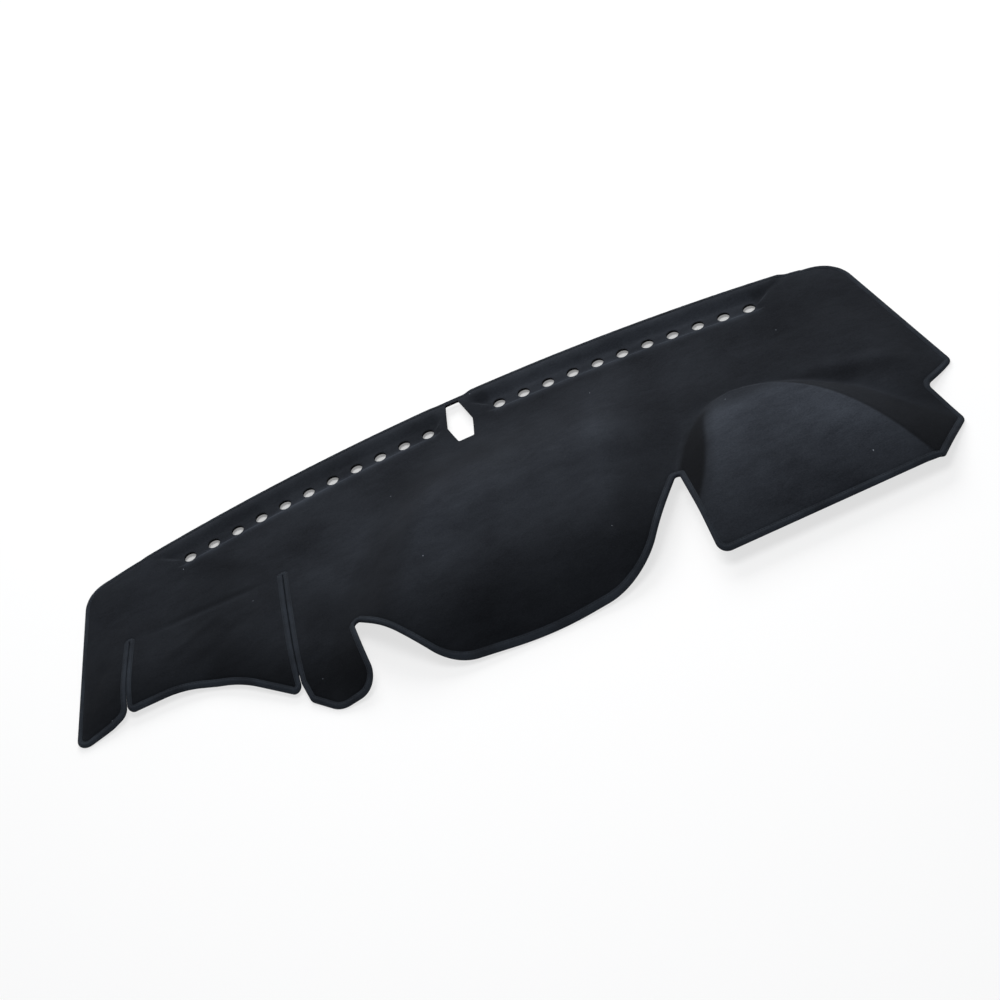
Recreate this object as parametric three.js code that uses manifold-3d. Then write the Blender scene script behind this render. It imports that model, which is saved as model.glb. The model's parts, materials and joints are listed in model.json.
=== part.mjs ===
// Moulded dashboard cover mat: one felt sheet cut to the plan of a dash and pressed to its form,
// with a folded binding tape sewn round its whole edge.
// Millimetres. x runs to the right along the dash, y towards the windscreen and z up.
// The outline is set out from the middle of the windscreen edge and ends up centred on the origin,
// lying on z = 0.

import * as THREE from 'three';
import { mergeVertices } from 'three/addons/utils/BufferGeometryUtils.js';
import Module from 'manifold-3d';

const wasm = await Module();
wasm.setup();

// Sheet and binding
const sheetThickness = 5;
const rimThickness = 3.2;
const tapeWidth = 7;
const tapeThickness = 1;
const sewingClearance = 0.4;
const tapeFoldShare = 0.6;

// Fineness of the surfaces
const outlineTolerance = 0.35;
const longestStep = 60;
const shortestSplit = 2;
const shortestStep = 0.4;
const gridColumn = 38;
const gridRow = 32;
const slopeStep = 0.5;
const blankMargin = 12;
const cutterDrop = 150;
const cutterHeight = 400;

// Windscreen edge: one long arc
const screenRadius = 3050;
const screenCentreX = 20;
const leftFarRadius = 50;
const rightFarRadius = 62;

// Ends of the mat
const leftFarX = -653;
const leftNearX = -714;
const leftNearY = -403;
const rightFarX = 644;
const rightNearX = 699;
const rightNearY = -387;
const endCornerRadius = 11;
const leftNearRadius = 15;

// Slits that free the glovebox flap
const slitGap = 3.4;
const longSlitTop = { x: -343, y: -250 };
const longSlitMouth = { x: -366, y: -488 };
const shortSlitTop = { x: -598, y: -244 };
const shortSlitMouth = { x: -625, y: -380 };
const slitMouthRadius = 9;
const flapHemSteep = { x: -452, y: -412, r: 210 };
const flapHemLevel = { x: -526, y: -379, r: 220 };
const stripFootX = -653;
const stripFootY = -390;
const stripFootRadius = 22;

// Finger beside the long slit
const fingerLeftX = -322;
const fingerRightX = -257;
const fingerDepth = -540;
const fingerRadius = 34;
const fingerHeelX = -358;
const fingerHeelY = -503;
const fingerHeelRadius = 12;
const fingerHipShare = 0.93;
const fingerHipRadius = 20;

// Centre lobe between the two notches
const leftNotch = { x: -264, y: -411 };
const rightNotch = { x: 262, y: -394 };
const notchRadius = 6;
const lobeLeftX = -147;
const lobeRightX = 152;
const lobeShoulderY = -558;
const lobeDepth = -571;
const lobeLeftRadius = 86;
const lobeRightRadius = 135;
const lobeNearRadius = 700;

// Instrument hood
const hoodLeftX = 259;
const hoodRightX = 602;
const hoodLeftY = -588;
const hoodRightY = -584.5;
const hoodLeftRadius = 16;
const hoodRightRadius = 7;
const hoodArchX = 386;
const hoodArchY = -284;
const hoodLeftSpread = 12.6;
const hoodRightSpread = 11;
const hoodArchLean = 0.05;
const hoodValleyHeight = 25;
const hoodRise = 30.5;
const hoodPeakReach = 156;
const hoodLeftSlope = 0.48;
const hoodRightSlope = 0.5;
const hoodTopBlend = 8;
const hoodRidgeBlend = 4;
const hoodFootBlend = 5;

// Tab at the hood's right foot
const tabNotchX = 643.5;
const tabNotchY = -428;
const tabTipX = 663;
const tabTipY = -511;
const tabNotchRadius = 19;
const tabTipRadius = 11;

// Demister vents and the sensor window between them
const ventPitch = 42;
const ventsPerRow = 11;
const ventDiameter = 20;
const ventSides = 10;
const ventRowDepth = 63;
const ventRowsCentreX = 5;
const ventRowsGap = 124;
const troughDepth = 8;
const troughFloor = 24;
const troughWall = 12;
const flangeLifts = [1, 3.5];
const troughEndRamp = 16;
const windowWidth = 44;
const windowLength = 102;
const windowFarWidth = 22;
const windowNearWidth = 26;
const windowWaistShare = 0.56;
const windowX = -3;
const windowFarY = -20;

// Moulded relief
const farRise = 12;
const farRiseReach = 16;
const plateRise = 14;
const crownRise = 34;
const crownStart = 85;
const crownReach = 235;
const crownFlank = 130;
const crownLeftSet = 30;
const crownLeftLean = 0.5;
const crownRightSet = 20;
const crownRightLean = 0.2;
const endRoll = 110;
const nearRoll = 165;
const flapRoll = 100;
const rollPower = 2.2;
const leftHemBlend = 0.12;

// Small helpers
const clamp01 = (value) => Math.min(1, Math.max(0, value));

function smoothRise(value) {
  const t = clamp01(value);
  return t * t * (3 - 2 * t);
}

function smoothMax(a, b, blend) {
  const h = Math.max(blend - Math.abs(a - b), 0) / blend;
  return Math.max(a, b) + (h * h * blend) / 4;
}

const smoothMin = (a, b, blend) => -smoothMax(-a, -b, blend);

// Signed distance to the right of the line from a to b
function rightOf(a, b, x, y) {
  const length = Math.hypot(b.x - a.x, b.y - a.y);
  return ((x - a.x) * (b.y - a.y) - (y - a.y) * (b.x - a.x)) / length;
}

// Windscreen edge, and how far a point lies behind it
const screenY = (x) => Math.sqrt(screenRadius ** 2 - (x - screenCentreX) ** 2) - screenRadius;

const leftFar = { x: leftFarX, y: screenY(leftFarX) };
const rightFar = { x: rightFarX, y: screenY(rightFarX) };
const leftNear = { x: leftNearX, y: leftNearY };
const rightNear = { x: rightNearX, y: rightNearY };
const tabTip = { x: tabTipX, y: tabTipY };
const fingerFoot = { x: fingerLeftX, y: fingerDepth };

// Vent rows: a trough with a raised flange on its windscreen side, both fading at the row's ends
const ventRowLength = ventPitch * (ventsPerRow - 1);
const ventRowStarts = [
  ventRowsCentreX - ventRowsGap / 2 - ventRowLength,
  ventRowsCentreX + ventRowsGap / 2,
];

function ventRelief(x, depth) {
  const beside = Math.abs(depth - ventRowDepth) - troughFloor / 2;
  const trough = 1 - smoothRise(beside / troughWall);
  const flange = smoothRise((ventRowDepth - depth - troughFloor / 2) / troughWall);
  const splay = Math.max(0, ventRowDepth - depth);
  let relief = 0;
  ventRowStarts.forEach((start, row) => {
    const end = start + ventRowLength;
    const margin = ventDiameter / 2 + troughEndRamp;
    const fromStart = smoothRise((x - start + margin + splay) / troughEndRamp);
    const fromEnd = smoothRise((end + margin + splay - x) / troughEndRamp);
    const towardsWindow = start > windowX ? x - windowX : windowX - x;
    const besideWindow = smoothRise((towardsWindow - windowWidth / 2) / troughEndRamp);
    const pressed = flangeLifts[row] * flange - troughDepth * trough;
    relief += fromStart * fromEnd * besideWindow * pressed;
  });
  return relief;
}

// Roll of the sheet down to the surface that it lies on: 0 on a hem line, 1 well inside it, and
// carried on past it at the same slope
const roll = (inside) => 1 - (1 - Math.min(1, inside)) ** rollPower;

function rollDown(x, y) {
  const leftEnd = roll(-rightOf(leftFar, leftNear, x, y) / endRoll);
  const rightEnd = roll(rightOf(rightFar, rightNear, x, y) / endRoll);
  const tabSide = roll(rightOf(rightNear, tabTip, x, y) / endRoll);
  const nearSide = roll((y - lobeDepth) / nearRoll);
  const flapHem = (y - leftNearY) / flapRoll;
  const fingerHem = rightOf(fingerFoot, flapHemLevel, x, y) / flapRoll;
  const leftSide = roll(smoothMax(flapHem, fingerHem, leftHemBlend));
  return leftEnd * rightEnd * tabSide * nearSide * leftSide;
}

// Broad crown over the middle of the dash, with its flanks running to the two notches
function crown(x, y, depth) {
  const leftFlank = leftNotch.x - crownLeftSet - (leftNotch.y - y) * crownLeftLean;
  const rightFlank = rightNotch.x + crownRightSet + (y - rightNotch.y) * crownRightLean;
  const across = smoothRise((x - leftFlank) / crownFlank) * smoothRise((rightFlank - x) / crownFlank);
  return crownRise * across * smoothRise((depth - crownStart) / crownReach);
}

// Hood over the instruments: an arch in plan that domes up towards the driver
function hood(x, y) {
  const reach = hoodArchY - y;
  const rise = 1 - ((reach - hoodPeakReach) / hoodPeakReach) ** 2;
  const top = hoodValleyHeight + hoodRise * rise;
  const widening = Math.sqrt(Math.max(reach, 0));
  const middle = hoodArchX + hoodArchLean * reach;
  const leftWall = hoodValleyHeight + (x - middle + hoodLeftSpread * widening) * hoodLeftSlope;
  const rightWall = top - (x - middle - hoodRightSpread * widening) * hoodRightSlope;
  return smoothMin(smoothMin(top, leftWall, hoodTopBlend), rightWall, hoodRidgeBlend);
}

// Middle surface of the sheet
function height(x, y) {
  const depth = screenY(x) - y;
  const plate = farRise * (1 - Math.exp(-Math.max(depth, 0) / farRiseReach))
    + plateRise * smoothRise((depth - crownStart) / crownReach);
  const base = (plate + crown(x, y, depth)) * rollDown(x, y) + ventRelief(x, depth);
  return smoothMax(base, hood(x, y), hoodFootBlend);
}

// A point of the flat pattern, with its offset from the middle surface, set on the moulded form
function mould(x, y, offset) {
  const slopeX = (height(x + slopeStep, y) - height(x - slopeStep, y)) / (2 * slopeStep);
  const slopeY = (height(x, y + slopeStep) - height(x, y - slopeStep)) / (2 * slopeStep);
  const stretch = Math.sqrt(1 + slopeX ** 2 + slopeY ** 2);
  return new THREE.Vector3(x, y, height(x, y) + offset * stretch);
}

// Outline: straight runs and arcs through named corners, each with its own fillet
function slitSides(top, mouth) {
  const run = new THREE.Vector2(mouth.x - top.x, mouth.y - top.y).normalize();
  const side = new THREE.Vector2(-run.y, run.x).multiplyScalar(slitGap / 2);
  return {
    mouthRight: { x: mouth.x + side.x, y: mouth.y + side.y },
    topRight: { x: top.x + side.x, y: top.y + side.y, r: slitGap / 2 },
    topLeft: { x: top.x - side.x, y: top.y - side.y, r: slitGap / 2 },
    mouthLeft: { x: mouth.x - side.x, y: mouth.y - side.y },
  };
}

function outlineCorners() {
  const long = slitSides(longSlitTop, longSlitMouth);
  const short = slitSides(shortSlitTop, shortSlitMouth);
  const slitTop = new THREE.Vector2(long.topRight.x, long.topRight.y);
  const hip = slitTop.lerp(long.mouthRight, fingerHipShare);
  return [
    { ...leftFar, r: leftFarRadius, arcNext: true },
    { ...rightFar, r: rightFarRadius },
    { ...rightNear, r: endCornerRadius },
    { x: tabNotchX, y: tabNotchY, r: tabNotchRadius },
    { ...tabTip, r: tabTipRadius },
    { x: hoodRightX, y: hoodRightY, r: hoodRightRadius },
    { x: hoodLeftX, y: hoodLeftY, r: hoodLeftRadius },
    { ...rightNotch, r: notchRadius },
    { x: lobeRightX, y: lobeShoulderY, r: lobeRightRadius },
    { x: (lobeLeftX + lobeRightX) / 2, y: lobeDepth, r: lobeNearRadius },
    { x: lobeLeftX, y: lobeShoulderY, r: lobeLeftRadius },
    { ...leftNotch, r: notchRadius },
    { x: fingerRightX, y: fingerDepth, r: fingerRadius },
    { ...fingerFoot, r: fingerRadius },
    { x: fingerHeelX, y: fingerHeelY, r: fingerHeelRadius },
    { x: hip.x, y: hip.y, r: fingerHipRadius },
    long.topRight,
    long.topLeft,
    { ...long.mouthLeft, r: slitMouthRadius },
    flapHemSteep,
    flapHemLevel,
    { ...short.mouthRight, r: slitMouthRadius },
    short.topRight,
    short.topLeft,
    { ...short.mouthLeft, r: stripFootRadius },
    { x: stripFootX, y: stripFootY, r: stripFootRadius },
    { ...leftNear, r: leftNearRadius },
  ];
}

// A fillet takes up less than half of each side beside it
const filletShare = 0.49;

function outlinePath() {
  const corners = outlineCorners();
  const path = new THREE.Path();
  const count = corners.length;
  const setBack = corners.map((corner, index) => {
    const before = corners[(index + count - 1) % count];
    const after = corners[(index + 1) % count];
    const a = new THREE.Vector2(before.x - corner.x, before.y - corner.y);
    const b = new THREE.Vector2(after.x - corner.x, after.y - corner.y);
    const turn = Math.PI - Math.abs(a.angleTo(b));
    const wanted = corner.r * Math.tan(turn / 2);
    const back = Math.min(wanted, filletShare * a.length(), filletShare * b.length());
    a.normalize();
    b.normalize();
    return {
      start: new THREE.Vector2(corner.x, corner.y).addScaledVector(a, back),
      end: new THREE.Vector2(corner.x, corner.y).addScaledVector(b, back),
      radius: back / Math.tan(turn / 2),
      turn,
      left: a.x * b.y - a.y * b.x < 0,
    };
  });
  path.moveTo(setBack[0].end.x, setBack[0].end.y);
  for (let index = 1; index <= count; index += 1) {
    const previous = corners[index - 1];
    const { start, end, radius, left } = setBack[index % count];
    if (previous.arcNext) {
      const from = setBack[index - 1].end;
      const angle = (point) => Math.atan2(point.y - middle.y, point.x - middle.x);
      const middle = { x: screenCentreX, y: -screenRadius };
      const reach = Math.hypot(from.x - middle.x, from.y - middle.y);
      path.absarc(middle.x, middle.y, reach, angle(from), angle(start), true);
    }
    path.lineTo(start.x, start.y);
    const heading = new THREE.Vector2().subVectors(corners[index % count], start).normalize();
    const sign = left ? 1 : -1;
    const cx = start.x - sign * heading.y * radius;
    const cy = start.y + sign * heading.x * radius;
    const a0 = Math.atan2(start.y - cy, start.x - cx);
    const a1 = Math.atan2(end.y - cy, end.x - cx);
    path.absarc(cx, cy, radius, a0, a1, !left);
  }
  return path;
}

// Outline points, close enough that neither the plan nor the moulded height leaves the true line
function outlinePoints() {
  const points = [];
  for (const curve of outlinePath().curves) {
    const at = (t) => curve.getPoint(t);
    const split = (t0, t1) => {
      const a = at(t0);
      const b = at(t1);
      const middle = at((t0 + t1) / 2);
      const chord = a.clone().add(b).multiplyScalar(0.5);
      const rise = height(middle.x, middle.y) - (height(a.x, a.y) + height(b.x, b.y)) / 2;
      const away = Math.hypot(middle.distanceTo(chord), rise);
      const apart = a.distanceTo(b);
      if (apart > longestStep || (away > outlineTolerance && apart > shortestSplit)) {
        split(t0, (t0 + t1) / 2);
        split((t0 + t1) / 2, t1);
      } else if (apart > shortestStep) {
        points.push(a);
      }
    };
    split(0, 1);
  }
  return points;
}

const outline = outlinePoints();

// Outward direction at each outline point, in plan, scaled so that offsets stay parallel
const outward = outline.map((point, index) => {
  const before = outline[(index + outline.length - 1) % outline.length];
  const after = outline[(index + 1) % outline.length];
  const a = point.clone().sub(before).normalize();
  const b = after.clone().sub(point).normalize();
  const normal = new THREE.Vector2(-a.y - b.y, a.x + b.x).normalize();
  return normal.divideScalar(normal.dot(new THREE.Vector2(-a.y, a.x)));
});

// Closed strip along the outline with a given section: [outward distance, offset from the sheet]
function sweepAlongOutline(section) {
  const positions = [];
  const indices = [];
  const sides = section.length;
  outline.forEach((point, ring) => {
    for (const [out, offset] of section) {
      const x = point.x + outward[ring].x * out;
      const y = point.y + outward[ring].y * out;
      positions.push(...mould(x, y, offset).toArray());
    }
    const next = (ring + 1) % outline.length;
    for (let side = 0; side < sides; side += 1) {
      const across = (side + 1) % sides;
      const a = ring * sides + side;
      const b = ring * sides + across;
      const c = next * sides + across;
      const d = next * sides + side;
      indices.push(a, b, c, a, c, d);
    }
  });
  return closedGeometry(positions, indices);
}

function closedGeometry(positions, indices) {
  const geometry = new THREE.BufferGeometry();
  geometry.setAttribute('position', new THREE.Float32BufferAttribute(positions, 3));
  geometry.setIndex(indices);
  return geometry;
}

function toSolid(geometry) {
  const bare = geometry.clone();
  bare.deleteAttribute('normal');
  bare.deleteAttribute('uv');
  const merged = mergeVertices(bare, 1e-5);
  return new wasm.Manifold(new wasm.Mesh({
    numProp: 3,
    vertProperties: new Float32Array(merged.attributes.position.array),
    triVerts: new Uint32Array(merged.index.array),
  }));
}

function fromSolid(solid) {
  const { vertProperties, triVerts } = solid.getMesh();
  return closedGeometry(Array.from(vertProperties), Array.from(triVerts));
}

// Upright cutter through the sheet, over a plan shape
function uprightCutter(points) {
  const geometry = new THREE.ExtrudeGeometry(new THREE.Shape(points), {
    depth: cutterHeight,
    bevelEnabled: false,
  });
  geometry.translate(0, 0, -cutterDrop);
  return toSolid(geometry);
}

// Rows of the sheet's grid: close together over the vent trough, even behind it
function gridDepths() {
  const floor = troughFloor / 2;
  const wall = troughWall / 2;
  const trough = [-floor - 2 * wall, -floor, floor, floor + wall, floor + 2 * wall];
  const depths = [-blankMargin, farRiseReach / 4, farRiseReach * 1.25];
  depths.push(...trough.map((offset) => ventRowDepth + offset));
  let depth = ventRowDepth + troughFloor + gridRow;
  while (depth < -Math.min(hoodLeftY, hoodRightY, lobeDepth) + gridRow) {
    depths.push(depth);
    depth += gridRow;
  }
  return depths;
}

// Moulded sheet before it is cut to its outline
function mouldedBlank() {
  const depths = gridDepths();
  const span = rightNearX - leftNearX + 2 * blankMargin;
  const columns = Math.ceil(span / gridColumn);
  const positions = [];
  for (const offset of [sheetThickness / 2, -sheetThickness / 2]) {
    for (const depth of depths) {
      for (let column = 0; column <= columns; column += 1) {
        const x = leftNearX - blankMargin + (span * column) / columns;
        positions.push(...mould(x, screenY(x) - depth, offset).toArray());
      }
    }
  }
  const indices = [];
  const rows = depths.length;
  const at = (layer, row, column) => (layer * rows + row) * (columns + 1) + column;
  const quad = (a, b, c, d) => indices.push(a, b, c, a, c, d);
  for (let row = 0; row < rows - 1; row += 1) {
    for (let column = 0; column < columns; column += 1) {
      quad(at(0, row + 1, column), at(0, row + 1, column + 1), at(0, row, column + 1), at(0, row, column));
      quad(at(1, row, column), at(1, row, column + 1), at(1, row + 1, column + 1), at(1, row + 1, column));
    }
    quad(at(0, row, 0), at(1, row, 0), at(1, row + 1, 0), at(0, row + 1, 0));
    quad(at(0, row + 1, columns), at(1, row + 1, columns), at(1, row, columns), at(0, row, columns));
  }
  for (let column = 0; column < columns; column += 1) {
    quad(at(0, 0, column + 1), at(1, 0, column + 1), at(1, 0, column), at(0, 0, column));
    const last = rows - 1;
    quad(at(0, last, column), at(1, last, column), at(1, last, column + 1), at(0, last, column + 1));
  }
  return toSolid(closedGeometry(positions, indices));
}

// Round vents along both rows, following the windscreen arc
function ventPoints() {
  const vents = [];
  for (const start of ventRowStarts) {
    for (let index = 0; index < ventsPerRow; index += 1) {
      const x = start + ventPitch * index;
      const ring = [];
      for (let side = 0; side < ventSides; side += 1) {
        const angle = (2 * Math.PI * side) / ventSides;
        ring.push(new THREE.Vector2(
          x + (ventDiameter / 2) * Math.cos(angle),
          screenY(x) - ventRowDepth + (ventDiameter / 2) * Math.sin(angle),
        ));
      }
      vents.push(ring);
    }
  }
  return vents;
}

function windowPoints() {
  const nearY = windowFarY - windowLength;
  const waistY = windowFarY - windowWaistShare * windowLength;
  return [
    new THREE.Vector2(windowX - windowFarWidth / 2, windowFarY),
    new THREE.Vector2(windowX - windowWidth / 2, waistY),
    new THREE.Vector2(windowX - windowNearWidth / 2, nearY),
    new THREE.Vector2(windowX + windowNearWidth / 2, nearY),
    new THREE.Vector2(windowX + windowWidth / 2, waistY),
    new THREE.Vector2(windowX + windowFarWidth / 2, windowFarY),
  ];
}

// The sheet: cut to its outline, pierced, and pressed thinner where the tape grips it
function matPanel() {
  let sheet = mouldedBlank().intersect(uprightCutter(outline));
  for (const vent of ventPoints()) sheet = sheet.subtract(uprightCutter(vent));
  sheet = sheet.subtract(uprightCutter(windowPoints()));
  const rim = rimThickness / 2;
  const clear = sheetThickness * 2;
  const inner = -tapeWidth - sewingClearance;
  const outer = tapeThickness * 3;
  const web = sewingClearance;
  const above = sweepAlongOutline([
    [inner, clear],
    [inner, rim],
    [web, rim],
    [outer, rim],
    [outer, clear],
  ]);
  const below = sweepAlongOutline([
    [inner, -rim],
    [inner, -clear],
    [outer, -clear],
    [outer, -rim],
    [web, -rim],
  ]);
  return fromSolid(sheet.subtract(toSolid(above)).subtract(toSolid(below)));
}

// The binding: a tape folded over the rim into a channel, one closed loop round the mat
function edgeBinding() {
  const inside = rimThickness / 2 + sewingClearance;
  const outside = inside + tapeThickness;
  const web = sewingClearance;
  const back = web + tapeThickness;
  const fold = tapeThickness * tapeFoldShare;
  return sweepAlongOutline([
    [-tapeWidth, outside],
    [-tapeWidth, inside],
    [web, inside],
    [web, -inside],
    [-tapeWidth, -inside],
    [-tapeWidth, -outside],
    [back, -outside],
    [back, outside - fold],
    [back - fold, outside],
  ]);
}

function namedMesh(name, geometry, material) {
  geometry.computeVertexNormals();
  const mesh = new THREE.Mesh(geometry, material);
  mesh.name = name;
  return mesh;
}

const feltMaterial = new THREE.MeshStandardMaterial({ color: 0x2b2d33, roughness: 0.95, metalness: 0 });
const tapeMaterial = new THREE.MeshStandardMaterial({ color: 0x4a4e58, roughness: 0.8, metalness: 0 });

const mat = new THREE.Group();
mat.add(namedMesh('mat_panel', matPanel(), feltMaterial));
mat.add(namedMesh('edge_binding', edgeBinding(), tapeMaterial));

// Centre the footprint on the origin and lay the lowest point on z = 0
const box = new THREE.Box3().setFromObject(mat);
mat.position.set(-(box.min.x + box.max.x) / 2, -(box.min.y + box.max.y) / 2, -box.min.z);

export default mat;
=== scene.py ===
"""Dresses a moulded dashboard cover mat: one sheet of brushed black felt, heat-pressed to the dash's
form and pierced for the demister vents, with a woven tape folded and stitched round its whole edge."""

import json
import math

import bpy
import numpy as np
from bpy.props import FloatProperty, FloatVectorProperty, IntProperty, PointerProperty
from mathutils import Matrix, Vector, noise
from mathutils.geometry import delaunay_2d_cdt

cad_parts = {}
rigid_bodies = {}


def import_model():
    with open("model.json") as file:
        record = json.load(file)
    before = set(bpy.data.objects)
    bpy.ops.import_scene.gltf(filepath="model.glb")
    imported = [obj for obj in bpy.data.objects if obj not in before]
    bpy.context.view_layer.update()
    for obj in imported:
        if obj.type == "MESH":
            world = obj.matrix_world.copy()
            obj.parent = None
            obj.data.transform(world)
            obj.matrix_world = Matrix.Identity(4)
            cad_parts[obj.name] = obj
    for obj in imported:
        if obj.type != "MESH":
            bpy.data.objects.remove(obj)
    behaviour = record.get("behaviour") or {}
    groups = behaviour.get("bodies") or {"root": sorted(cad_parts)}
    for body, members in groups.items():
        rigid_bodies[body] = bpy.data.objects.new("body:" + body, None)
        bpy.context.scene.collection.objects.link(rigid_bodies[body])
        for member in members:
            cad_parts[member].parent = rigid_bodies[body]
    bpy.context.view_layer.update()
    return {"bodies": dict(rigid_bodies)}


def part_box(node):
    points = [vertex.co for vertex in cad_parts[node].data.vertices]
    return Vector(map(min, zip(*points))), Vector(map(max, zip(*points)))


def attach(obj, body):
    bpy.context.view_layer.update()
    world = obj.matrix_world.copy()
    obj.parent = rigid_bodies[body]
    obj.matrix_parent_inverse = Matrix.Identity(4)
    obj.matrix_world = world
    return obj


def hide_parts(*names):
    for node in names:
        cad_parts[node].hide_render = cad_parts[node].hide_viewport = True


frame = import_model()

bl_info = {
    "name": "Dashboard Cover Mat",
    "version": (1, 0, 0),
    "blender": (4, 5, 0),
    "location": "View3D > Sidebar > Cover Mat",
    "description": "Builds the felt sheet, its bound edge and a plain studio for a dashboard cover mat",
    "category": "Object",
}

BINDING_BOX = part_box("edge_binding")
BODY = next(iter(frame["bodies"]))
MM = 0.001

# Plan of the sheet in millimetres: x along the dash, y from the middle of the windscreen edge
SCREEN_RADIUS = 3050
SCREEN_CENTRE_X = 20
LEFT_FAR_RADIUS = 50
RIGHT_FAR_RADIUS = 62
LEFT_FAR_X = -653
LEFT_NEAR = (-714, -403)
LEFT_NEAR_RADIUS = 15
RIGHT_FAR_X = 644
RIGHT_NEAR = (699, -387)
RIGHT_NEAR_RADIUS = 11

# Slits that free the glovebox flap
SLIT_GAP = 3.4
LONG_SLIT_TOP = (-343, -250)
LONG_SLIT_MOUTH = (-366, -488)
SHORT_SLIT_TOP = (-598, -244)
SHORT_SLIT_MOUTH = (-625, -380)
SLIT_MOUTH_RADIUS = 9
FLAP_HEM_STEEP = (-452, -412, 210)
FLAP_HEM_LEVEL = (-526, -379, 220)
STRIP_FOOT = (-653, -390)
STRIP_FOOT_RADIUS = 22

# Finger beside the long slit
FINGER_LEFT_X = -322
FINGER_RIGHT_X = -257
FINGER_DEPTH = -540
FINGER_RADIUS = 34
FINGER_HEEL = (-358, -503, 12)
FINGER_HIP_SHARE = 0.93
FINGER_HIP_RADIUS = 20

# Centre lobe between the two notches
LEFT_NOTCH = (-264, -411)
RIGHT_NOTCH = (262, -394)
NOTCH_RADIUS = 6
LOBE_LEFT_X = -147
LOBE_RIGHT_X = 152
LOBE_SHOULDER_Y = -558
LOBE_DEPTH = -571
LOBE_LEFT_RADIUS = 86
LOBE_RIGHT_RADIUS = 135
LOBE_NEAR_RADIUS = 700

# Instrument hood, an arch in plan that domes up towards the driver
HOOD_LEFT = (259, -588)
HOOD_RIGHT = (602, -584.5)
HOOD_LEFT_RADIUS = 16
HOOD_RIGHT_RADIUS = 7
HOOD_ARCH_X = 386
HOOD_ARCH_Y = -284
HOOD_LEFT_SPREAD = 12.6
HOOD_RIGHT_SPREAD = 11
HOOD_ARCH_LEAN = 0.05
HOOD_VALLEY_HEIGHT = 25
HOOD_RISE = 30.5
HOOD_PEAK_REACH = 156
HOOD_LEFT_SLOPE = 0.48
HOOD_RIGHT_SLOPE = 0.5
HOOD_TOP_BLEND = 8
HOOD_RIDGE_BLEND = 4
HOOD_FOOT_BLEND = 5

# Tab at the hood's right foot
TAB_NOTCH = (643.5, -428)
TAB_TIP = (663, -511)
TAB_NOTCH_RADIUS = 19
TAB_TIP_RADIUS = 11

# Demister vents, their troughs, and the sensor window between them
VENT_PITCH = 42
VENTS_PER_ROW = 11
VENT_DIAMETER = 20
VENT_ROW_DEPTH = 63
VENT_ROWS_CENTRE_X = 5
VENT_ROWS_GAP = 124
TROUGH_DEPTH = 6.5
TROUGH_FLOOR = 24
TROUGH_NEAR_WALL = 9
TROUGH_FAR_WALL = 26
TROUGH_END_RAMP = 16
FLANGE_LIFTS = (1, 3.5)
WINDOW_X = -3
WINDOW_FAR_Y = -20
WINDOW_LENGTH = 102
WINDOW_WIDTH = 44
WINDOW_FAR_WIDTH = 22
WINDOW_NEAR_WIDTH = 26
WINDOW_WAIST_SHARE = 0.56
WINDOW_CORNER_RADIUS = 2.5

# Moulded relief
FAR_RISE = 12
FAR_RISE_REACH = 16
PLATE_RISE = 14
CROWN_RISE = 34
CROWN_START = 85
CROWN_REACH = 235
CROWN_FLANK = 130
CROWN_LEFT_SET = 30
CROWN_LEFT_LEAN = 0.5
CROWN_RIGHT_SET = 20
CROWN_RIGHT_LEAN = 0.2
END_ROLL = 110
NEAR_ROLL = 165
FLAP_ROLL = 100
ROLL_POWER = 2.2
LEFT_HEM_BLEND = 0.12

# Section of the bound edge, in millimetres
RIM_HALF = 1.6
CHANNEL_HALF = 3.0
CHANNEL_BACK = 1.4
SEAM_SHARE = 0.76
SEAM_RISE = 0.42

# Felt beside its edges: rings of the mesh, where the grid starts, and the rounding of a punched cut
RIM_RINGS = (3.6, 6.9, 8.6, 10.8)
GRID_START = 11.5
SWELL_START = 6.4
SWELL_REACH = 3.6
CUT_RING = 0.9
CUT_ROUNDING = 0.55

# Soft folds that a rolled-up mat keeps: start, end, half width and lift in millimetres
SOFT_FOLDS = (
    ((-600, -246), (-345, -252), 7, -1.6),
    ((-560, -330), (-430, -262), 9, 1.5),
    ((-520, -372), (-385, -292), 12, -1.4),
    ((-690, -345), (-640, -252), 14, -1.5),
    ((-480, -95), (-330, -235), 22, 1.8),
    ((-360, -160), (-235, -330), 26, -1.8),
    ((455, -300), (668, -372), 20, 3.2),
    ((560, -120), (655, -250), 24, -1.6),
    ((-500, -30), (-470, -62), 5, -0.9),
    ((545, -75), (585, -42), 6, -1.2),
)

# Painted shade from the form: how much darker the felt is painted on a slope that faces the driver, the left
# or the right;
# then painted light on the step beside the vents and the hood's top, and painted shade on the hood's walls
SLOPE_SHADE_BACK = 1.1
SLOPE_SHADE_LEFT = 2.1
SLOPE_SHADE_RIGHT = 0.6
SLOPE_SHADE_LIMITS = (0.5, 0.6)
SLOPE_SHADE_STEP = 2.0
VENT_LIP_DEPTH = 79.5
VENT_LIP_LIGHT = 1.6
VENT_FAR_LIGHTS = (0.05, 0.6)
HOOD_TOP_LIGHT = 0.85
HOOD_WALL_SHADE = 0.5
HOOD_WALL_SLOPE = 0.22

# Patches of painted light and shade on the felt: x, y, reach in x, reach in y, change of tone
PAINTED_SHADE_PATCHES = (
    (-25, -330, 150, 75, 0.4),
    (-160, -300, 90, 100, 0.35),
    (190, -330, 70, 90, 0.3),
    (0, -190, 160, 50, -0.42),
    (-430, -190, 90, 50, -0.25),
    (-650, -170, 40, 60, 0.35),
    (-585, -235, 50, 35, -0.2),
    (-640, -340, 60, 50, -0.2),
    (-440, -300, 100, 80, -0.3),
    (-520, -290, 90, 70, -0.15),
    (-300, -375, 45, 50, -0.35),
    (540, -210, 120, 110, -0.28),
    (340, -260, 80, 35, -0.25),
    (282, -420, 26, 110, -0.2),
    (520, -470, 75, 80, 0.4),
    (120, -110, 160, 45, -0.15),
)

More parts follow.
